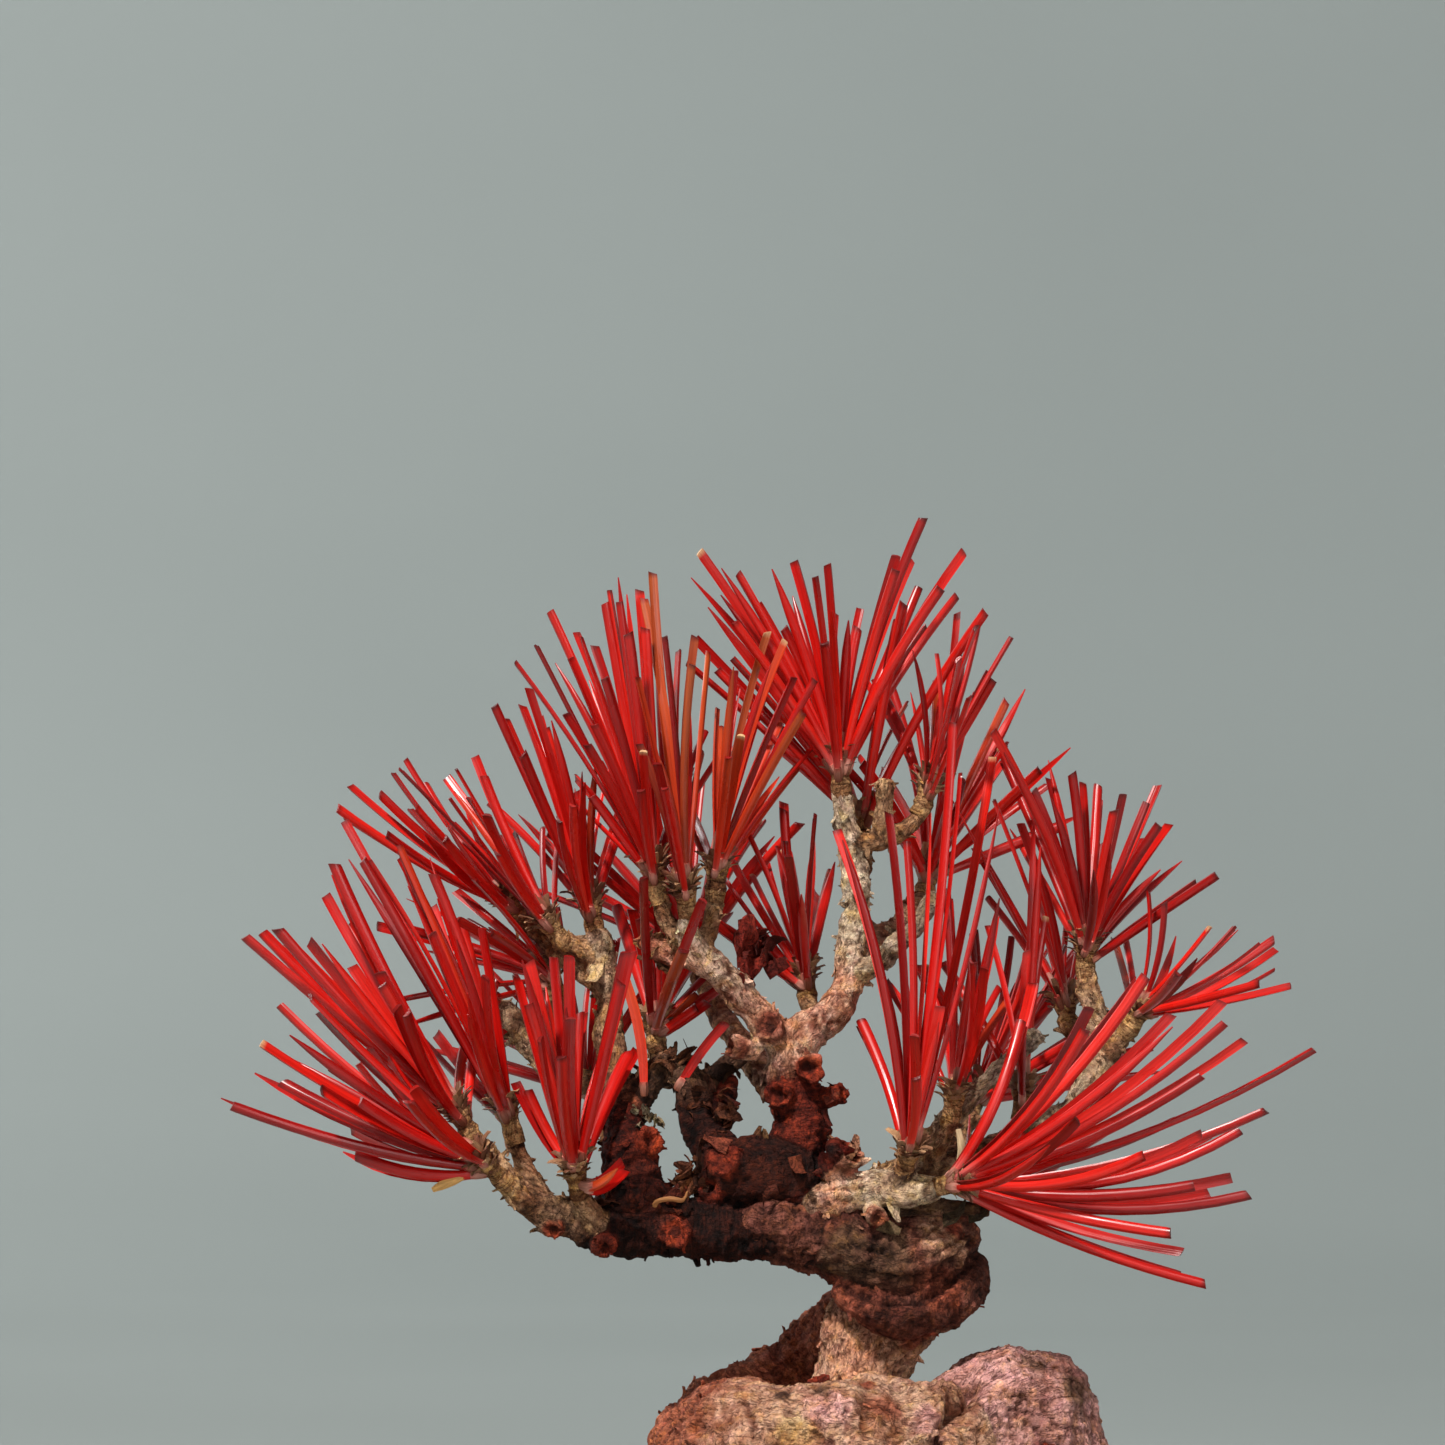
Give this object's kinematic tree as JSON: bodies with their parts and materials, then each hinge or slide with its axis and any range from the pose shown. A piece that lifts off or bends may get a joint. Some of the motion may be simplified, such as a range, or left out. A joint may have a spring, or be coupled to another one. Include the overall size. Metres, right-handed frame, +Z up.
{
  "type": "japanese black pine bonsai",
  "caption": "Miniature black pine bonsai with a coiled trunk and stiff trimmed needles dyed red, planted in a low rectangular clay pot on feet.",
  "frame": {"origin": "under the middle of the whole object's box, at the height of the surface that the pot's feet stand on", "axes": "+X to the right and +Z up as the tree is seen from its front, and +Y away from the viewer"},
  "size_m": [0.1283, 0.0796, 0.1566],
  "materials": {
    "clay": "unglazed, matt reddish brown",
    "soil": "rough baked clay granules",
    "screen": "matt dark green",
    "bark": "rough fissured bark",
    "needle": "glossy, dyed deep red"
  },
  "bodies": {
    "root": {"drain_screen_left": "screen", "drain_screen_right": "screen", "needles_back_left": "needle", "needles_back_low": "needle", "needles_back_mid": "needle", "needles_back_right": "needle", "needles_centre": "needle", "needles_centre_left": "needle", "needles_centre_right": "needle", "needles_front_left": "needle", "needles_inner": "needle", "needles_inner_left": "needle", "needles_left_high_a": "needle", "needles_left_high_b": "needle", "needles_left_low": "needle", "needles_left_mid": "needle", "needles_left_middle": "needle", "needles_left_tip": "needle", "needles_left_top": "needle", "needles_right_back": "needle", "needles_right_in_low": "needle", "needles_right_inner": "needle", "needles_right_low": "needle", "needles_right_mid": "needle", "needles_right_top": "needle", "needles_right_up": "needle", "needles_top": "needle", "needles_top_low": "needle", "needles_top_right": "needle", "pot": "clay", "soil": "soil", "trunk_and_branches": "bark"}
  },
  "joints": []
}
